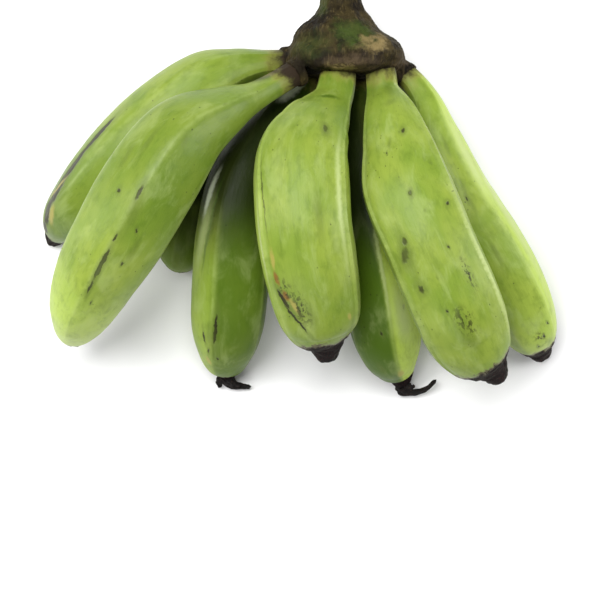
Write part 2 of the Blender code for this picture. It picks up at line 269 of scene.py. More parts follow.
            ("speckled", 0.752, 0, 22, 15, 45), ("speckled", 0.66, 34, 26, 8),
            ("bruise", 0.575, -44, 40, 11), ("bruise", 0.80, -4, 26, 14, 30), ("spot", 0.33, -22, 1.8, 1.4),
            ("bruise", 0.30, -14, 12, 5, -20), ("spot", 0.72, -20, 2, 1.6),
            ("spot", 0.585, 22, 1.8, 1.3, 20),
        ],
    },
}
LOWER_ROW = [name for name in FINGERS if name.startswith("lower")]
UPPER_ROW = [name for name in FINGERS if name.startswith("upper")]

# Kinds of marks on the peel: how soft the edge is, from 0, hard, to 1, how strongly the mark covers the
# green, and the peel's colour property that it takes. Some kinds are painted light and shade, as noted at
# each.
MARK_KINDS = {
    "slit": (0.35, 0.95, "scar_brown"),
    "spot": (0.6, 0.85, "scar_brown"),
    "bruise": (1.0, 0.5, "bruise_green"),
    "line": (0.9, 0.7, "scar_brown"),
    # Painted shade: a dark line standing in for the shade in a crease, over a real hollow.
    "crease": (0.8, 0.85, "deep_green"),
    "tan": (0.7, 0.75, "tan"),
    "rust": (0.7, 0.85, "rust"),
    # Partly wax bloom, mostly painted highlights: pale strips along lit ridges, outlines and faces.
    "wax": (1.0, 0.85, "wax"),
    # Painted highlight: whitish glints on an outline and on a stalk.
    "pale": (0.7, 0.92, "pale"),
    "speckled": (1.0, 1.0, "scar_brown"),
    # Painted shade: a dark brown patch on the shaded lower side of a stalk.
    "latex": (0.8, 0.95, "stalk_brown"),
}
# The kinds with a ring of bruised green round them: its reach against the mark's own, and its strength.
HALOED = ("slit", "spot")
HALO_REACH = 2.4
HALO_STRENGTH = 0.42
# The kinds that lie deeper than the peel, and how deep in millimetres.
SUNKEN = ("slit", "spot", "crease", "rust")
HOLLOW_DEPTH = 0.22

# The crown, from its cut end down to the face that the stalks leave: middle, half width and half thickness.
CROWN_SECTIONS = (
    ((19.5, 99.0, 34.0), 9.2, 9.5),
    ((19.5, 97.5, 34.0), 9.8, 10.0),
    ((19.5, 91.0, 34.0), 10.0, 10.5),
    ((19.5, 86.0, 33.5), 11.2, 12.5),
    ((19.0, 81.0, 33.0), 14.8, 16.5),
    ((18.3, 75.5, 32.0), 20.2, 21.5),
    ((21.7, 70.5, 31.0), 25.3, 25.5),
    ((22.3, 65.0, 29.5), 29.0, 31.0),
    ((22.0, 60.5, 29.0), 29.6, 31.5),
    ((22.5, 57.0, 29.0), 26.5, 30.0),
    ((23.0, 54.5, 29.5), 19.0, 20.0),
)
CROWN_BULGE = 1.5
# Waves round the crown: how many, how high against its radius, and their twist in radians for each section.
CROWN_LOBES = ((3, 0.035, 0.6), (7, 0.025, -0.9))
ROUND_SECTIONS = 3
CROWN_STEPS = 72
CROWN_RINGS = 60
# The collars of crown tissue round the stalks: how far each reaches along its finger, and its thickness.
COLLARS = {
    "lower_finger_1": (11, 1.6),
    "lower_finger_2": (8, 1.2),
    "lower_finger_3": (7, 1.2),
    "lower_finger_4": (8, 1.2),
    "lower_finger_5": (11, 1.4),
    "upper_finger_1": (4.5, 1.2),
    "upper_finger_2": (6.5, 1.5),
    "upper_finger_3": (7, 1.5),
}
COLLAR_STEPS = 28
COLLAR_RINGS = 16
# How much thinner a collar is at its edge, how uneven that edge is, and how far its last ring is drawn in.
COLLAR_THINNING = 0.35
COLLAR_RAGGEDNESS = 0.8
COLLAR_LIP = 0.6
# Grain sizes of the crown's unevenness in millimetres, across, along the stem and up.
CROWN_LUMPS = (8.5, 8.5, 8.5)
CROWN_SMALL_LUMPS = (3.8, 3.8, 3.8)
CROWN_FIBRES = (1.5, 11, 1.5)
CROWN_CRACKS = (3.2, 7, 3.2)
CROWN_GRAIN = (0.95, 0.95, 0.95)
CUT_GRAIN = (1.1, 1.1, 1.1)
# Their heights in millimetres, and from where, up to 1, the noise of the cracks opens one.
LUMPS_HIGH = 0.65
FIBRES_HIGH = 0.16
CRACKS_DEEP = 0.40
CRACKS_START = 0.86
GRAIN_HIGH = 0.08
CUT_GRAIN_HIGH = 0.25
# The hollow in the cut end: its depth, and how far from the middle it starts and is full.
CUT_HOLLOW = 0.5
CUT_HOLLOW_REACH = (7.5, 3.0)
# Where along Y the sides turn into the cut end, in the mesh and in the finish.
CUT_EDGE = (97.2, 97.8)
CUT_COLOURED = (97.2, 98.2)
# Patches on the crown: middle, half size, strength and the crown's colour property.
CROWN_PATCHES = (
    ((25, 73, 56), (13, 10, 22), 0.8, "green_patch"),
    ((4, 67, 52), (13, 11, 18), 0.35, "green_patch"),
    ((10, 88, 42), (6, 10, 14), 0.4, "green_patch"),
    ((34, 67, 52), (11, 5, 18), 0.6, "dry_tan"),
    ((37, 70, 50), (6, 6, 14), 0.45, "dry_tan"),
    ((41, 66, 48), (3, 6, 12), 0.7, "bark"),
    ((47, 60, 40), (6, 8, 16), 0.55, "grey_rim"),
    ((25, 58.5, 55), (17, 7, 16), 0.65, "grey_rim"),
    ((20, 55, 58), (12, 3, 10), 0.7, "dry_tan"),
    ((1, 57, 46), (15, 7, 22), 0.8, "dark_bark"),
)

# The two dry flowers: threads of points from the blossom end outwards, with the radius at each.
FLOWERS = {
    "dried_flower_3": [
        [(-36, -90.4, 4.6, 4), (-36, -92.8, 3.7, 3.2), (-31, -95, 3, 1.8), (-23.5, -95.5, 3, 0.9)],
        [(-37.5, -90, 5, 2.6), (-39.5, -93.5, 4.0, 1.6), (-38.5, -96, 3.2, 0.7)],
        [(-34.5, -90, 6, 2.6), (-32.5, -93.5, 6.2, 1.5), (-29, -95.2, 6.6, 0.6)],
        [(-36, -90, 3.4, 2.6), (-34, -94, 1.9, 1.4), (-29, -96, 1.3, 0.6)],
    ],
    "dried_flower_4": [
        [
            (50.5, -94.4, 4.2, 3.7), (51.2, -96.6, 3.8, 3), (56, -98, 4, 1.6), (62, -96.5, 5, 1.3),
            (67, -91.5, 7, 1),
        ],
        [(49, -93, 5.4, 2.6), (48.2, -96, 5.0, 1.5), (50, -98.4, 4.4, 0.6)],
        [(51.5, -93, 6, 2.4), (53.8, -95.3, 6.4, 1.4), (56.5, -95.0, 6.8, 0.6)],
        [(50.3, -93, 3.2, 2.4), (52.5, -96.4, 2.2, 1.3), (56.5, -98.2, 1.8, 0.6)],
    ],
}
FLOWER_STEPS = 24
FLOWER_RINGS = 40
FLOWER_FINENESS = 0.24
# Over how many rings a thread closes at each end, and how deep its folds and crumpling are, as shares.
FLOWER_CLOSING = 4
FLOWER_FOLDS = 0.45
FLOWER_CRUMPLING = 0.3

# The soft lights: name, place, size and the stage's property with the power. The camera looks straight down.
LIGHTS = (
    ("window", (-0.35, 0.50, 1.60), (1.3, 0.9), "window_power"),
    ("front", (-0.35, -1.20, 0.80), (1.0, 0.5), "front_power"),
    ("left_side", (-1.25, 0.20, 0.60), (0.5, 1.3), "left_power"),
    ("right_side", (1.25, 0.20, 0.60), (0.5, 1.3), "right_power"),
)
LIGHTS_AIM = (0, 0, 0.05)
CAMERA_PLACE = (0.0, -0.053, 1.25)
CAMERA_LENS = 152.556
CAMERA_SENSOR = 36.0

SPLINE_STEPS = 24


def screen_colour(red, green, blue):
    """A colour in screen values from 0 to 255, as the linear values that Blender's sockets take."""
    shares = [value / 255 for value in (red, green, blue)]
    return tuple(x / 12.92 if x <= 0.04045 else ((x + 0.055) / 1.055) ** 2.4 for x in shares)


def colour_property(name, description, colour):
    """A colour that a user can change, given in screen values."""
    linear = screen_colour(*colour)
    return FloatVectorProperty(
        name=name, description=description, default=linear, size=3, subtype="COLOR", min=0.0, max=1.0
    )


def number_property(name, description, default, low, high, **kind):
    """A number between low and high that a user can change."""
    return FloatProperty(name=name, description=description, default=default, min=low, max=high, **kind)


def power_property(name, description, default):
    """The power of a light."""
    return number_property(name, description, default, 0.0, 200.0, unit="POWER")


class PlantainPeelSettings(bpy.types.PropertyGroup):
    """Colours and relief of the peel."""

    fresh_green: colour_property("Fresh green", "Main colour of the peel", (116, 139, 47))
    yellow_green: colour_property("Yellow green", "Lighter, riper patches of the peel", (132, 150, 57))
    deep_green: colour_property("Deep green", "Darker mottling and shaded faces of the peel", (66, 92, 18))
    # Partly the peel's own lighter green, partly painted light on lit faces and on tips.
    light_green_and_painted_light: colour_property("Light green", "Lighter faces and young tips of the peel", (168, 190, 78))
    # Wax bloom colour, also used for the painted highlights along lit ridges, outlines and faces.
    wax: colour_property("Wax bloom", "Pale waxy film, strongest on the ridges", (172, 186, 120))
    stalk_brown: colour_property("Stalk brown", "Where the stalk meets the crown", (40, 29, 15))
    dry_black: colour_property("Dry black", "The dried blossom end", (10, 6, 6))
    dry_brown: colour_property("Dry brown", "The edge and the middle of the dried end", (66, 36, 34))
    scar_brown: colour_property("Scar brown", "Slits and spots", (38, 34, 16))
    bruise_green: colour_property("Bruise", "Soft rubbed marks", (88, 104, 40))
    rust: colour_property("Rust", "Corky, orange-brown scars", (124, 84, 38))
    tan: colour_property("Tan", "Thin, dry scars", (158, 146, 74))
    # Painted shade: the colour that darkens the stalks deep between the fingers.
    shaded: colour_property("Shaded green", "Stalks deep between the fingers", (24, 31, 9))
    # Painted highlight: the colour of the whitish glints painted on the peel.
    pale: colour_property("Pale", "Rubbed white wax", (224, 231, 204))
    roughness: number_property("Roughness", "0 is glossy and 1 is matt", 0.38, 0.0, 1.0, subtype="FACTOR")
    ridge_height: number_property("Ridge line", "Height of each ridge's line, in millimetres", 0.16, 0.0, 1.0)
    unevenness: number_property("Unevenness", "Height of the broad swells, in millimetres", 0.45, 0.0, 1.5)


class PlantainCrownSettings(bpy.types.PropertyGroup):
    """Colours and relief of the crown."""

    bark: colour_property("Bark", "Main colour of the crown", (52, 44, 21))
    dark_bark: colour_property("Dark bark", "Cracks, latex stains and the left side", (20, 15, 8))
    green_patch: colour_property("Green patch", "Living skin left on the crown", (58, 74, 26))
    grey_rim: colour_property("Grey rim", "Dry lip over the stalks", (84, 70, 52))
    dry_tan: colour_property("Dry tan", "Torn and dried tissue", (146, 128, 84))
    cut_face: colour_property("Cut face", "The cut end of the stem", (128, 104, 72))
    relief: number_property("Relief", "How strong the lumps and fibres are", 1.0, 0.0, 2.0, subtype="FACTOR")
    fineness: number_property(
        "Fineness", "Size of the mesh's faces, in metres", 0.00062, 0.0003, 0.002, precision=5, unit="LENGTH"
    )


class PlantainFlowerSettings(bpy.types.PropertyGroup):
    """Colours of the dried flowers."""

    black: colour_property("Black", "Main colour of the shrivelled flower", (14, 11, 10))
    brown: colour_property("Brown", "Folds and edges of the shrivelled flower", (50, 36, 26))


class PlantainStageSettings(bpy.types.PropertyGroup):
    """Table and lights."""

    table_white: colour_property("Table", "Colour of the table", (246, 246, 246))
    table_size: number_property("Table size", "Width of the table", 12.0, 1.0, 50.0, unit="LENGTH")
    window_power: power_property("Window", "Power of the soft light above the crown", 34.0)
    front_power: power_property("Front light", "Power of the soft light before the tips", 5.0)
    left_power: power_property("Left light", "Power of the low soft light at the left", 10.0)
    right_power: power_property("Right light", "Power of the low soft light at the right", 13.0)
    sky_strength: number_property("Surroundings", "Brightness of the white room", 0.22, 0.0, 5.0)


class PlantainHandSettings(bpy.types.PropertyGroup):
    """Everything that a user would change on the hand."""

    seed: IntProperty(name="Seed", description="Start number of all unevenness", default=7, min=0, max=1000)
    peel: PointerProperty(type=PlantainPeelSettings, name="Peel", description="Peel of all fingers")
    crown: PointerProperty(type=PlantainCrownSettings, name="Crown", description="Woody crown")
    flowers: PointerProperty(type=PlantainFlowerSettings, name="Flowers", description="Dried flowers")
    stage: PointerProperty(type=PlantainStageSettings, name="Stage", description="Table and lights")


def smooth_line(points):
    """Points on one smooth curve through the given points, a Catmull-Rom spline."""
    points = [Vector(p) for p in points]
    ends = [2 * points[0] - points[1], *points, 2 * points[-1] - points[-2]]
    line = []
    for before, start, end, after in zip(ends, ends[1:], ends[2:], ends[3:]):
        for step in range(SPLINE_STEPS):
            u = step / SPLINE_STEPS
            line.append(
                start
                + 0.5 * u * (end - before)
                + 0.5 * u**2 * (2 * before - 5 * start + 4 * end - after)
                + 0.5 * u**3 * (3 * start - before - 3 * end + after)
            )
    return [*line, points[-1]]


def smooth_value(table, x):
    """The value at x of a smooth curve through a table of (x, value) pairs."""
    last = len(table) - 1
    i = max(k for k in range(last) if table[k][0] <= max(x, table[0][0]))

    def slope(k):
        low, high = table[max(k - 1, 0)], table[min(k + 1, last)]
        return (high[1] - low[1]) / (high[0] - low[0])

    (x0, y0), (x1, y1) = table[i], table[i + 1]
    width = x1 - x0
    u = min(max((x - x0) / width, 0.0), 1.0)
    return (
        (2 * u**3 - 3 * u**2 + 1) * y0
        + (u**3 - 2 * u**2 + u) * width * slope(i)
        + (3 * u**2 - 2 * u**3) * y1
        + (u**3 - u**2) * width * slope(i + 1)
    )


def eased(x, low, high):
    """0 below low, 1 above high, and a smooth step between. Low may be the larger one."""
    u = min(max((x - low) / (high - low), 0.0), 1.0)
    return u * u * (3 - 2 * u)


class Course:
    """A middle line with the radius along it, and an upright direction that turns as little as it can."""

    def __init__(self, points):
        smooth = smooth_line(points)
        self.line = [point.to_3d() for point in smooth]
        self.radii = [point.w for point in smooth]
        self.lengths = [0.0]
        for a, b in zip(self.line, self.line[1:]):
            self.lengths.append(self.lengths[-1] + (b - a).length)
        self.length = self.lengths[-1]
        ahead = [*self.line[1:], self.line[-1]]
        behind = [self.line[0], *self.line[:-1]]
        self.tangents = [(b - a).normalized() for a, b in zip(behind, ahead)]
        middle = len(self.line) // 2
        self.ups = {middle: self.square(Vector((0, 0, 1)), middle)}
        for i in range(middle + 1, len(self.line)):
            self.ups[i] = self.square(self.ups[i - 1], i)
        for i in range(middle - 1, -1, -1):
            self.ups[i] = self.square(self.ups[i + 1], i)

    def square(self, direction, i):
        """The direction turned square to the line at its point i."""
        return (direction - direction.dot(self.tangents[i]) * self.tangents[i]).normalized()

    def at(self, share):
        """The point at this share, its radius, and the directions up, to the side and along there."""
        wanted = min(max(share, 0.0), 1.0) * self.length
        i = max(k for k in range(len(self.lengths) - 1) if self.lengths[k] <= wanted)
        u = (wanted - self.lengths[i]) / (self.lengths[i + 1] - self.lengths[i])
        along = self.tangents[i].lerp(self.tangents[i + 1], u).normalized()
        up = self.ups[i].lerp(self.ups[i + 1], u)
        up = (up - up.dot(along) * along).normalized()
        radius = self.radii[i] + u * (self.radii[i + 1] - self.radii[i])
        return self.line[i].lerp(self.line[i + 1], u), radius, up, up.cross(along), along


def finished_piece(name, mesh, finish, slot, *nodes):
    """An object for a mesh, riding on the hand's one body in place of the given nodes."""
    mesh.materials.clear()
    mesh.materials.append(finish)
    mesh.shade_smooth()
    piece = bpy.data.objects.new(name, mesh)
    bpy.context.scene.collection.objects.link(piece)
    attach(piece, BODY)
    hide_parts(*nodes)
    return piece


def ball_points(shape, steps, rings):
    """Adds a UV sphere and gives its points, each with its ring and step. The poles are the outer rings."""
    for vertex in bmesh.ops.create_uvsphere(shape, u_segments=steps, v_segments=rings, radius=1)["verts"]:
        ring = round(math.acos(max(-1, min(1, vertex.co.z))) / math.pi * rings)
        step = round(math.atan2(vertex.co.y, vertex.co.x) / math.tau * steps) % steps
        yield vertex, ring, step


def laid(point):
    """A point in millimetres as one in metres, never below the table."""
    point.z = max(point.z, 0.0)
    return point * MM


def mesh_from(shape, name):
    """A mesh from a bmesh, which is freed."""
    mesh = bpy.data.meshes.new(name)
    shape.to_mesh(mesh)
    shape.free()
    return mesh


def uneven(point, grain, seed):
    """Noise between -1 and 1 at a point, with a grain size for each axis."""
    return noise.noise(Vector([place / size for place, size in zip(point, grain)]) + seed)


def seeded(settings, name):
    """A far-off place in the noise field, the same for the same seed and name."""
    number = settings.seed + sum(place * ord(letter) for place, letter in enumerate(name, 1))
    return Vector((number % 97, number % 89, number % 83)) * 3.7


class Finish:
    """A material whose nodes are added one by one; most calls give the output to link on.

    Its colour starts with one call of mix and then takes coat after coat.
    """

    def __init__(self, name):
        self.material = bpy.data.materials.new(name)
        self.material.use_nodes = True
        self.tree = self.material.node_tree
        self.shader = self.tree.nodes["Principled BSDF"]
        self.column = 0
        self.colour = None

    def add(self, kind, inputs, output=0, **settings):
        node = self.tree.nodes.new(kind)
        self.column += 1
        node.location = (-180 * (self.column % 12) - 200, -220 * (self.column // 12))
        for key, value in settings.items():
            setattr(node, key, value)
        for key, value in inputs.items():
            self.feed(node.inputs[key], value)
        return node.outputs[output]

    def feed(self, socket, value):
        if isinstance(value, bpy.types.NodeSocket):
            self.tree.links.new(value, socket)
        elif socket.type == "RGBA":
            socket.default_value = (*value, 1.0)
        else:
            socket.default_value = value

    def attribute(self, name):
        return self.add("ShaderNodeAttribute", {}, output="Vector", attribute_name=name)

    def amount(self, name):
        return self.add("ShaderNodeAttribute", {}, output="Fac", attribute_name=name)

    def object_place(self):
        return self.add("ShaderNodeTexCoord", {}, output="Object")

    def moved(self, place, location=(0, 0, 0), rotation=(0, 0, 0), scale=(1, 1, 1), kind="POINT"):
        return self.add(
            "ShaderNodeMapping",
            {"Vector": place, "Location": location, "Rotation": rotation, "Scale": scale},
            vector_type=kind,
        )

    def noise(self, place, scale, detail, rough, distortion=0.0, output=0):
        return self.add(
            "ShaderNodeTexNoise",
            {"Vector": place, "Scale": scale, "Detail": detail, "Roughness": rough, "Distortion": distortion},
            output,
        )

    def maths(self, operation, first, second=0.0):
        return self.add("ShaderNodeMath", {0: first, 1: second}, operation=operation)

    def times(self, first, second):
        return self.maths("MULTIPLY", first, second)

    def plus(self, first, second):
        return self.maths("ADD", first, second)

    def most(self, *values):
        """The largest of the values."""
        return reduce(lambda first, second: self.maths("MAXIMUM", first, second), values)

    def step(self, value, low, high, to_low=0.0, to_high=1.0):
        """A smooth step from to_low at low to to_high at high."""
        return self.add(
            "ShaderNodeMapRange",
            {"Value": value, "From Min": low, "From Max": high, "To Min": to_low, "To Max": to_high},
            interpolation_type="SMOOTHSTEP",
        )

    def mix(self, amount, first, second):
        return self.add("ShaderNodeMix", {0: amount, 6: first, 7: second}, output=2, data_type="RGBA")

    def coat(self, amount, colour):
        """Covers the colour so far with another one."""
        self.colour = self.mix(amount, self.colour, colour)

    def oval(self, place, middle, size, rotation=(0, 0, 0)):
        """The distance from an oval's middle, 1 on its edge. Middle and half size are in millimetres."""
        local = self.moved(place, Vector(middle) * MM, rotation, Vector(size) * MM, "TEXTURE")
        return self.add("ShaderNodeVectorMath", {0: local}, output="Value", operation="LENGTH")

    def wobbled(self, place, source, scale, detail, rough, reach):
        """The place, shifted by a noise at the source by up to half the reach to each side."""
        wobble = self.noise(source, scale, detail, rough, output="Color")
        centred = self.add("ShaderNodeVectorMath", {0: wobble, 1: (0.5, 0.5, 0.5)}, operation="SUBTRACT")
        return self.add("ShaderNodeVectorMath", {0: centred, 1: reach, 2: place}, operation="MULTIPLY_ADD")

    def bump(self, height):
        """Relief from a height in millimetres."""
        relief = self.add("ShaderNodeBump", {"Height": height, "Distance": MM, "Strength": 1.0})
        self.feed(self.shader.inputs["Normal"], relief)

    def finish_with(self, inputs):
        """Sets the colour and the surface's other inputs, and gives the material."""
        for key, value in {"Base Color": self.colour, **inputs}.items():
            self.feed(self.shader.inputs[key], value)
        return self.material


def mark_distance(finish, place, course, share, angle, length, width, turn=0):
    """The distance from a mark's middle, 1 on the edge of its oval, in the finger's unbent place."""
    radius = course.at(share)[1]
    turned = math.radians(angle)
    middle = (radius * math.cos(turned), radius * math.sin(turned), share * course.length)
    return finish.oval(place, middle, (radius, width / 2, length / 2), (-math.radians(turn), 0, turned))


def peel_finish(settings, name):
    """Green, waxy peel with mottling, fibres, ridge lines partly painted highlight, face tones partly painted
    light and shade, painted shade on deep stalks, and this finger's own marks, some of them painted light and
    shade.
    """
    peel = settings.peel
    finger = FINGERS[name]
    course = Course(finger["course"])
    finish = Finish(name + "_peel")
    unbent = finish.attribute("unbent")
    place = finish.moved(unbent, location=seeded(settings, name))
    from_crown = finish.amount("from_crown")
    from_tip = finish.amount("from_tip")
    ridge = finish.amount("ridge")
    tone = finish.amount("tone")

    # Broad patches, the faces' tones, which are partly painted light and shade, mottling, fibres, the wax
    # film, and the ridge line, which is partly a painted highlight
    broad = finish.noise(place, 42, 3, 0.55)
    mottling = finish.noise(finish.moved(place, scale=(1, 1, 0.75)), 170, 5, 0.66, 0.3)
    fibres = finish.noise(finish.moved(place, scale=(1, 1, 0.035)), 760, 3, 0.6)
    film = finish.noise(finish.moved(place, scale=(1, 1, 0.6)), 95, 4, 0.62, 0.5)
    grain = finish.noise(place, 1700, 2, 0.6)
    finish.colour = finish.mix(finish.step(broad, 0.36, 0.64), peel.fresh_green, peel.yellow_green)
    # The faces' tones, partly the peel's own and partly painted light and shade on faces that the light
    # reaches or misses.
    finish.coat(finish.step(tone, 0.0, -1.0, 0.0, 0.95), peel.deep_green)
    finish.coat(finish.step(tone, 0.0, 1.0, 0.0, 0.95), peel.light_green_and_painted_light)
    finish.coat(finish.step(mottling, 0.44, 0.72, 0.0, 0.34), peel.deep_green)
    finish.coat(finish.step(fibres, 0.42, 0.75, 0.0, 0.09), peel.deep_green)
    finish.coat(finish.step(film, 0.47, 0.72, 0.0, 0.24), peel.wax)
    # The ridge line is partly wax and partly a painted highlight on each ridge.
    finish.coat(finish.times(ridge, finish.step(mottling, 0.3, 0.7, 0.26, 0.05)), peel.wax)

    # Fine dark freckles, in some cells only
    cells = finish.add("ShaderNodeTexVoronoi", {"Vector": place, "Scale": 250.0}, output="Distance")
    freckles = finish.times(finish.step(cells, 0.12, 0.06), finish.step(broad, 0.50, 0.56, 0.0, 0.6))
    finish.coat(freckles, peel.scar_brown)

    # Painted shade: the stalks deep between other fingers are darkened towards the crown.
    if "shade" in finger:
        dark, green = finger["shade"]
        shade = finish.step(from_crown, green * MM, dark * MM, 0.0, 0.92)
        finish.coat(shade, peel.shaded)

    # This finger's marks, with ragged edges
    ragged = finish.noise(place, 520, 3, 0.6)
    wobbled = finish.wobbled(unbent, place, 420, 3, 0.6, (0.0022, 0.0022, 0.0030))
    distances = [(kind, mark_distance(finish, wobbled, course, *mark)) for kind, *mark in finger["marks"]]
    haloed = [distance for kind, distance in distances if kind in HALOED]
    halos = [finish.step(distance, HALO_REACH, 1.0, 0.0, HALO_STRENGTH) for distance in haloed]
    finish.coat(finish.most(*halos), peel.bruise_green)
    hollows = 0.0
    for kind, (softness, strength, paint) in MARK_KINDS.items():
        own = [distance for other, distance in distances if other == kind]
        if not own:
            continue
        cover = finish.most(*[finish.step(distance, 1.0, 1.0 - softness, 0.0, strength) for distance in own])
        if kind == "speckled":
            cover = finish.times(cover, finish.step(ragged, 0.48, 0.60, 0.10, 0.9))
        finish.coat(cover, getattr(peel, paint))
        if kind in SUNKEN:
            hollows = finish.plus(hollows, finish.times(cover, HOLLOW_DEPTH))

    # The stalk, a little deeper green, and its base, from green over tan to brown
    base = finger["stalk_base"]
    stalk = finish.plus(from_crown, finish.step(mottling, 0.2, 0.8, -0.004, 0.004))
    stalk_brown = finish.step(stalk, (base + 8) * MM, (base - 2) * MM)
    finish.coat(finish.step(stalk, 34 * MM, 12 * MM, 0.0, 0.3), peel.deep_green)
    finish.coat(finish.step(stalk, (base + 11) * MM, (base + 3) * MM, 0.0, 0.4), peel.tan)
    finish.coat(stalk_brown, peel.stalk_brown)

    # The dry blossom end
    end = finish.plus(from_tip, finish.step(mottling, 0.2, 0.8, -0.003, 0.003))
    end = finish.plus(end, finish.step(ragged, 0.2, 0.8, -0.0014, 0.0014))
    dry = finger["dry_end"] * MM
    brown_edge = finish.step(end, dry * 1.18, dry * 0.98)
    black = finish.step(end, dry * 1.0, dry * 0.82)
    dry_colour = finish.mix(finish.step(grain, 0.45, 0.75, 0.0, 0.55), peel.dry_black, peel.dry_brown)
    finish.coat(finish.times(brown_edge, 0.8), peel.dry_brown)
    finish.coat(black, dry_colour)

    dull = finish.most(finish.times(black, 0.45), finish.times(stalk_brown, 0.35))
    rough = finish.plus(finish.step(film, 0.35, 0.7, peel.roughness - 0.05, peel.roughness + 0.09), dull)
    height = finish.plus(finish.times(fibres, 0.10), finish.times(mottling, 0.18))
    height = finish.plus(height, finish.times(grain, 0.035))
    height = finish.plus(height, finish.times(ragged, finish.plus(finish.times(black, 0.5), 0.03)))
    height = finish.maths("SUBTRACT", height, hollows)
    finish.bump(height)
    shaded = "shade" in finger
    return finish.finish_with(
        {
            "Roughness": rough,
            "Specular IOR Level": 0.08 if shaded else 0.22,
            "Sheen Weight": 0.0 if shaded else 0.03,
            "Sheen Roughness": 0.4,
            "Sheen Tint": peel.wax,
        }
    )


def crowded_share(x, crowding):
    """A share from 0 to 1 that moves slowly near both ends."""
    return x - crowding * math.sin(math.tau * x) / math.tau


def ridged_section(ridges, step, share):
    """A step's angle in radians, its radius against 1 on a ridge, and the angle to the nearest ridge."""
    face, place = divmod(step, STEPS_BETWEEN_RIDGES)
    start = ridges[face]
    end = ridges[face + 1] if face + 1 < RIDGES else ridges[0] + 360
    half = math.radians(end - start) / 2
    across = 2 * crowded_share(place / STEPS_BETWEEN_RIDGES, RIDGE_CROWDING) - 1
    off_middle = half * across
    to_ridge = half - abs(off_middle)
    rounded = to_ridge
    if to_ridge < RIDGE_ROUNDING:
        rounded = (to_ridge**2 + RIDGE_ROUNDING**2) / (2 * RIDGE_ROUNDING)
    chord = math.cos(half) / math.cos(half - rounded)
    flatness = smooth_value(FACE_FLATNESS, share)
    return math.radians((start + end) / 2) + off_middle, 1 - flatness * (1 - chord), to_ridge


def face_tone(finger, angle, share):
    """The tone of the peel at this angle and share of the length, blended across the ridges; partly the
    peel's own tone, partly painted light and shade.
    """
    ridges = finger["ridges"]
    total, weight = 0.0, 0.0
    for face, start in enumerate(ridges):
        end = ridges[face + 1] if face + 1 < RIDGES else ridges[0] + 360
        off = abs((angle - (start + end) / 2 + 180) % 360 - 180)
        here = eased(off, (end - start) / 2 + TONE_BLENDING, (end - start) / 2 - TONE_BLENDING)
        total += here * finger["tones"][face]
        weight += here
    return total / weight + smooth_value(finger["tones_along"], share)


def finger_mesh(settings, name):
    """One finger: a course with five rounded ridges, soft swells, stalk folds and a wrinkled dry end."""
    finger = FINGERS[name]
    course = Course(finger["course"])
    seed = seeded(settings, name)
    last = PEEL_RINGS + END_RINGS
    stations = []
    for ring in range(last + 1):
        share = crowded_share(min(max(ring - 1, 0) / (PEEL_RINGS - 1), 1.0), END_CROWDING)
        inward = max(ring - PEEL_RINGS, 0) / END_RINGS
        stations.append((share, inward, *course.at(share)))
    shape = bmesh.new()
    unbent = shape.verts.layers.float_vector.new("unbent")
    from_crown = shape.verts.layers.float.new("from_crown")
    from_tip = shape.verts.layers.float.new("from_tip")
    ridge = shape.verts.layers.float.new("ridge")
    tone = shape.verts.layers.float.new("tone")

    for vertex, ring, step in ball_points(shape, RIDGES * STEPS_BETWEEN_RIDGES, last):
        share, inward, middle, radius, up, side, along = stations[ring]
        angle, section, to_ridge = ridged_section(finger["ridges"], step, share)
        reached = share * course.length
        left = course.length - reached
        rim = math.exp(-((to_ridge / RIDGE_LINE) ** 2)) * smooth_value(RIDGE_STRENGTH, share)
        straight = Vector((radius * math.cos(angle), radius * math.sin(angle), reached))
        dry = eased(left, finger["dry_end"] * 1.05, finger["dry_end"] * 0.75)
        stalk = eased(reached, finger["stalk_base"] + FOLDS_REACH, finger["stalk_base"])
        swell = uneven(straight, SWELLS, seed) + SMALL_SWELL_SHARE * uneven(straight, SMALL_SWELLS, seed)
        folds = uneven(straight, STALK_FOLDS, seed)
        wrinkles = uneven(straight, END_WRINKLES, seed)
        lumps = uneven(straight, END_LUMPS, seed)
        radius = radius * section + rim * settings.peel.ridge_height
        radius += settings.peel.unevenness * swell * eased(radius, 5, 15)
        radius += stalk * FOLD_HEIGHT * folds
        radius += dry * (WRINKLE_HEIGHT * wrinkles + LUMP_HEIGHT * lumps - END_SHRINKING)
        height = 0.0
        if inward:
            radius *= 1 - inward
            height = smooth_value(END_FACE, inward) + LUMP_HEIGHT * lumps * inward
        if ring == 0:
            radius = 0.0
        vertex[unbent] = straight * MM
        vertex[from_crown] = reached * MM
        vertex[from_tip] = (left - inward) * MM
        vertex[ridge] = rim * (1 - dry) * (1 - stalk)
        vertex[tone] = face_tone(finger, math.degrees(angle), share)
        outward = FINGER_DEPTH * math.cos(angle) * up + math.sin(angle) * side
        vertex.co = laid(middle + radius * outward + height * along)
    return mesh_from(shape, name + "_peel")


def add_fingers(settings, names):
    for name in names:
        mesh = finger_mesh(settings, name)
        finished_piece(mesh.name, mesh, peel_finish(settings, name), "green_peel", name)


def loose_parts(shape):
    """Lists of the points that hang together."""
    parts, seen = [], set()
    for start in shape.verts:
        if start in seen:
            continue
        seen.add(start)
        part, waiting = [], [start]
        while waiting:
            vertex = waiting.pop()
            part.append(vertex)
            neighbours = [edge.other_vert(vertex) for edge in vertex.link_edges]
            waiting += [other for other in neighbours if other not in seen]
            seen.update(neighbours)
        parts.append(part)
    return parts


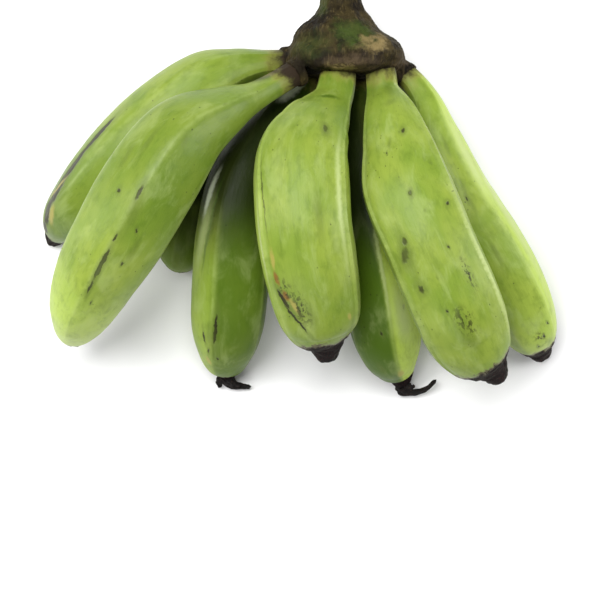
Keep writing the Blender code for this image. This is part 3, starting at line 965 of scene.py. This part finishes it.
def fused(shape, size, smoothing):
    """One closed, smoothed skin round overlapping forms, without the crumbs that remeshing leaves inside."""
    mesh = mesh_from(shape, "forms")
    rough = bpy.data.objects.new("forms", mesh)
    bpy.context.scene.collection.objects.link(rough)
    remesh = rough.modifiers.new("skin", "REMESH")
    remesh.mode = "VOXEL"
    remesh.voxel_size = size
    graph = bpy.context.evaluated_depsgraph_get()
    result = bpy.data.meshes.new_from_object(rough.evaluated_get(graph), depsgraph=graph)
    bpy.data.objects.remove(rough)
    bpy.data.meshes.remove(mesh)
    skin = bmesh.new()
    skin.from_mesh(result)
    bpy.data.meshes.remove(result)
    for crumb in sorted(loose_parts(skin), key=len)[:-1]:
        bmesh.ops.delete(skin, geom=crumb, context="VERTS")
    axes = {"use_axis_x": True, "use_axis_y": True, "use_axis_z": True}
    for _ in range(smoothing):
        bmesh.ops.smooth_vert(skin, verts=skin.verts, factor=0.5, **axes)
    return skin


def crown_mesh(settings):
    """The crown's body and the collars round the stalks in one skin, with lumps, fibres and cracks."""
    relief = settings.crown.relief
    seed = seeded(settings, "crown")
    shape = bmesh.new()
    middles = [Vector(middle) for middle, width, depth in CROWN_SECTIONS]
    middle_tables = [list(enumerate(middle[axis] for middle in middles)) for axis in range(3)]
    widths = list(enumerate(width for middle, width, depth in CROWN_SECTIONS))
    depths = list(enumerate(depth for middle, width, depth in CROWN_SECTIONS))
    sections = len(CROWN_SECTIONS) - 1

    def body(ring, step):
        if ring == 0:
            return middles[0].copy()
        if ring == CROWN_RINGS:
            return middles[-1] - Vector((0, CROWN_BULGE, 0))
        section = (ring - 1) / (CROWN_RINGS - 2) * sections
        angle = math.tau * step / CROWN_STEPS
        waves = [high * math.cos(count * angle + twist * section) for count, high, twist in CROWN_LOBES]
        size = 1 + sum(waves) * min(1, section / ROUND_SECTIONS)
        across = size * smooth_value(widths, section) * math.sin(angle)
        height = size * smooth_value(depths, section) * math.cos(angle)
        middle = Vector([smooth_value(table, section) for table in middle_tables])
        return middle + Vector((across, 0, height))

    for vertex, ring, step in ball_points(shape, CROWN_STEPS, CROWN_RINGS):
        vertex.co = laid(body(ring, step))
    for name, (reach, thickness) in COLLARS.items():
        course = Course(FINGERS[name]["course"])
        for vertex, ring, step in ball_points(shape, COLLAR_STEPS, COLLAR_RINGS):
            inside = min(ring, COLLAR_RINGS - 2) / (COLLAR_RINGS - 2)
            middle, radius, up, side, along = course.at(inside * reach / course.length)
            angle = math.tau * step / COLLAR_STEPS
            ragged = noise.noise(Vector((2.5 * math.cos(angle), 2.5 * math.sin(angle), 0)) + seed)
            radius += thickness * (1 - COLLAR_THINNING * inside)
            if ring in (0, COLLAR_RINGS):
                radius = 0.0
            elif ring == COLLAR_RINGS - 1:
                radius *= COLLAR_LIP
            outward = FINGER_DEPTH * math.cos(angle) * up + math.sin(angle) * side
            vertex.co = laid(middle + radius * outward + along * COLLAR_RAGGEDNESS * ragged * inside)

    shape = fused(shape, settings.crown.fineness, 4)
    shape.normal_update()
    moves = {}
    for vertex in shape.verts:
        point = vertex.co / MM
        from_stem = (point - middles[0]).xz.length
        lumps = uneven(point, CROWN_LUMPS, seed) + 0.5 * uneven(point, CROWN_SMALL_LUMPS, seed)
        fibres = uneven(point, CROWN_FIBRES, seed)
        cracks = max(1 - abs(uneven(point, CROWN_CRACKS, -seed)) - CRACKS_START, 0) / (1 - CRACKS_START)
        on_cut = eased(point.y, *CUT_EDGE)
        side = LUMPS_HIGH * lumps + FIBRES_HIGH * fibres - CRACKS_DEEP * cracks
        side += GRAIN_HIGH * uneven(point, CROWN_GRAIN, seed)
        end = CUT_GRAIN_HIGH * uneven(point, CUT_GRAIN, -seed)
        end -= CUT_HOLLOW * eased(from_stem, *CUT_HOLLOW_REACH)
        moves[vertex] = vertex.normal * relief * (side * (1 - on_cut) + end * on_cut)
    for vertex, move in moves.items():
        vertex.co += move * MM
        vertex.co.z = max(vertex.co.z, 0.0)
    return mesh_from(shape, "crown_bark")


def crown_finish(settings):
    """Dark, fibrous crown with a patch of living green, torn tan edges and a cut end."""
    crown = settings.crown
    finish = Finish("crown_bark")
    place = finish.object_place()
    coarse = finish.noise(place, 95, 4, 0.6, 0.4)
    stains = finish.noise(finish.moved(place, location=(3, 1, 2)), 240, 4, 0.62)
    fibres = finish.noise(finish.moved(place, scale=(1, 0.12, 1)), 800, 3, 0.6)
    grain = finish.noise(place, 2200, 2, 0.6)
    wobbled = finish.wobbled(place, place, 150, 4, 0.65, (0.016, 0.016, 0.016))

    finish.colour = finish.mix(finish.step(coarse, 0.36, 0.64), crown.dark_bark, crown.bark)
    finish.coat(finish.step(fibres, 0.50, 0.80, 0.0, 0.22), crown.dry_tan)
    for middle, size, strength, paint in CROWN_PATCHES:
        distance = finish.oval(wobbled, middle, size)
        finish.coat(finish.step(distance, 1.0, 0.25, 0.0, strength), getattr(crown, paint))
    finish.coat(finish.step(stains, 0.50, 0.70, 0.0, 0.6), crown.dark_bark)

    # The cut end of the stem
    along = finish.add("ShaderNodeSeparateXYZ", {"Vector": place}, output="Y")
    cut = finish.step(along, *[edge * MM for edge in CUT_COLOURED])
    vessels = finish.add("ShaderNodeTexVoronoi", {"Vector": place, "Scale": 900.0}, output="Distance")
    cut_colour = finish.mix(finish.step(vessels, 0.35, 0.2), crown.cut_face, crown.dark_bark)
    cut_colour = finish.mix(finish.step(stains, 0.45, 0.7, 0.0, 0.6), cut_colour, crown.bark)
    finish.coat(cut, cut_colour)

    height = finish.plus(finish.times(fibres, 0.22), finish.times(stains, 0.5))
    height = finish.plus(height, finish.times(grain, 0.10))
    finish.bump(height)
    rough = finish.step(stains, 0.3, 0.7, 0.62, 0.88)
    return finish.finish_with({"Roughness": rough, "Specular IOR Level": 0.12})


def flower_mesh(settings, name):
    """A shrivelled flower: the dry style and three shrunken petals, grown together at the base."""
    seed = seeded(settings, name)
    shape = bmesh.new()
    for number, thread in enumerate(FLOWERS[name]):
        course = Course(thread)
        turn = Vector((number * 5.1, 0, 0)) + seed
        for vertex, ring, step in ball_points(shape, FLOWER_STEPS, FLOWER_RINGS):
            share = ring / FLOWER_RINGS
            middle, radius, up, side, _ = course.at(share)
            angle = math.tau * step / FLOWER_STEPS
            around = Vector((math.cos(angle), math.sin(angle), 0))
            folds = noise.noise(around * 1.7 + Vector((0, 0, share * 3)) + turn)
            crumple = noise.noise(around * 0.9 + Vector((0, 0, share * 9)) - turn)
            closed = eased(ring, 0, FLOWER_CLOSING) * eased(ring, FLOWER_RINGS, FLOWER_RINGS - FLOWER_CLOSING)
            radius *= (1 + FLOWER_FOLDS * folds + FLOWER_CRUMPLING * crumple) * closed
            vertex.co = laid(middle + radius * (math.cos(angle) * up + math.sin(angle) * side))
    shape = fused(shape, FLOWER_FINENESS * MM, 1)
    for vertex in shape.verts:
        vertex.co.z = max(vertex.co.z, 0.0)
    return mesh_from(shape, name + "_petals")


def flower_finish(settings):
    """Dry, black, wrinkled flower with brown edges."""
    flowers = settings.flowers
    finish = Finish("dry_flower")
    place = finish.object_place()
    folds = finish.noise(place, 900, 4, 0.65, 0.6)
    grain = finish.noise(place, 3500, 2, 0.6)
    finish.colour = finish.mix(finish.step(folds, 0.48, 0.72, 0.0, 0.8), flowers.black, flowers.brown)
    finish.bump(finish.plus(finish.times(folds, 0.5), finish.times(grain, 0.08)))
    rough = finish.step(grain, 0.3, 0.7, 0.6, 0.85)
    return finish.finish_with({"Roughness": rough, "Specular IOR Level": 0.2})


def table_finish(settings):
    """Smooth, pale, matt table."""
    finish = Finish("pale_table")
    cloud = finish.noise(finish.object_place(), 3, 2, 0.5)
    white = settings.stage.table_white
    faint = [value * 0.985 for value in white]
    finish.colour = finish.mix(cloud, white, faint)
    return finish.finish_with({"Roughness": 0.85, "Specular IOR Level": 0.2})


def add_soft_light(name, place, size, power):
    lamp = bpy.data.lights.new(name, "AREA")
    lamp.shape = "RECTANGLE"
    lamp.size, lamp.size_y = size
    lamp.energy = power
    light = bpy.data.objects.new(name, lamp)
    light.location = place
    light.rotation_euler = (Vector(LIGHTS_AIM) - Vector(place)).to_track_quat("-Z", "Y").to_euler()
    bpy.context.scene.collection.objects.link(light)


def operator_settings(context):
    return context.scene.plantain_hand


class PLANTAIN_OT_lower_fingers(bpy.types.Operator):
    """Replace the lower row's five solids with detailed fingers"""

    bl_idname = "plantain.lower_fingers"
    bl_label = "Lower Fingers"

    def execute(self, context):
        add_fingers(operator_settings(context), LOWER_ROW)
        return {"FINISHED"}


class PLANTAIN_OT_upper_fingers(bpy.types.Operator):
    """Replace the upper row's three solids with detailed fingers"""

    bl_idname = "plantain.upper_fingers"
    bl_label = "Upper Fingers"

    def execute(self, context):
        add_fingers(operator_settings(context), UPPER_ROW)
        return {"FINISHED"}


class PLANTAIN_OT_crown(bpy.types.Operator):
    """Replace the crown's solid with a detailed, fibrous crown"""

    bl_idname = "plantain.crown"
    bl_label = "Crown"

    def execute(self, context):
        settings = operator_settings(context)
        finished_piece("crown_bark", crown_mesh(settings), crown_finish(settings), "brown_crown", "crown")
        return {"FINISHED"}


class PLANTAIN_OT_dried_flowers(bpy.types.Operator):
    """Replace the two flowers' solids with shrivelled flowers"""

    bl_idname = "plantain.dried_flowers"
    bl_label = "Dried Flowers"

    def execute(self, context):
        settings = operator_settings(context)
        finish = flower_finish(settings)
        for name in FLOWERS:
            finished_piece(name + "_petals", flower_mesh(settings, name), finish, "dry_flower", name)
        return {"FINISHED"}


class PLANTAIN_OT_camera(bpy.types.Operator):
    """Add the camera that looks straight down on the hand"""

    bl_idname = "plantain.camera"
    bl_label = "Camera"

    def execute(self, context):
        lens = bpy.data.cameras.new("camera")
        lens.lens = CAMERA_LENS
        lens.sensor_width = CAMERA_SENSOR
        camera = bpy.data.objects.new("camera", lens)
        camera.location = CAMERA_PLACE
        context.scene.collection.objects.link(camera)
        context.scene.camera = camera
        return {"FINISHED"}


class PLANTAIN_OT_stage(bpy.types.Operator):
    """Add the pale table and the soft studio light"""

    bl_idname = "plantain.stage"
    bl_label = "Table and Light"

    def execute(self, context):
        settings = operator_settings(context)
        stage = settings.stage
        shape = bmesh.new()
        bmesh.ops.create_grid(shape, x_segments=1, y_segments=1, size=stage.table_size / 2)
        mesh = mesh_from(shape, "table")
        mesh.materials.append(table_finish(settings))
        table = bpy.data.objects.new("table", mesh)
        context.scene.collection.objects.link(table)
        for name, place, size, power in LIGHTS:
            add_soft_light(name, place, size, getattr(stage, power))
        context.scene.view_settings.view_transform = "Standard"
        room = bpy.data.worlds.new("white_room")
        room.use_nodes = True
        background = room.node_tree.nodes["Background"]
        background.inputs["Color"].default_value = (1.0, 1.0, 1.0, 1.0)
        background.inputs["Strength"].default_value = stage.sky_strength
        context.scene.world = room
        return {"FINISHED"}


class PLANTAIN_PT_panel(bpy.types.Panel):
    """Panel that lists the operators and the settings"""

    bl_idname = "PLANTAIN_PT_panel"
    bl_label = "Plantain Hand"
    bl_space_type = "VIEW_3D"
    bl_region_type = "UI"
    bl_category = "Plantain Hand"

    def draw(self, context):
        settings = operator_settings(context)
        for operator in OPERATORS:
            self.layout.operator(operator.bl_idname)
        self.layout.prop(settings, "seed")
        for group in (settings.peel, settings.crown, settings.flowers, settings.stage):
            box = self.layout.box()
            for name in group.__annotations__:
                box.prop(group, name)


OPERATORS = (
    PLANTAIN_OT_lower_fingers,
    PLANTAIN_OT_upper_fingers,
    PLANTAIN_OT_crown,
    PLANTAIN_OT_dried_flowers,
    PLANTAIN_OT_camera,
    PLANTAIN_OT_stage,
)
CLASSES = (
    PlantainPeelSettings,
    PlantainCrownSettings,
    PlantainFlowerSettings,
    PlantainStageSettings,
    PlantainHandSettings,
    *OPERATORS,
    PLANTAIN_PT_panel,
)


def register():
    for made in CLASSES:
        bpy.utils.register_class(made)
    bpy.types.Scene.plantain_hand = PointerProperty(type=PlantainHandSettings)


def unregister():
    del bpy.types.Scene.plantain_hand
    for made in reversed(CLASSES):
        bpy.utils.unregister_class(made)


def main():
    """Builds the hand and its stage."""
    register()
    bpy.ops.plantain.camera()
    bpy.ops.plantain.lower_fingers()
    bpy.ops.plantain.upper_fingers()
    bpy.ops.plantain.crown()
    bpy.ops.plantain.dried_flowers()
    bpy.ops.plantain.stage()


if __name__ == "__main__":
    main()
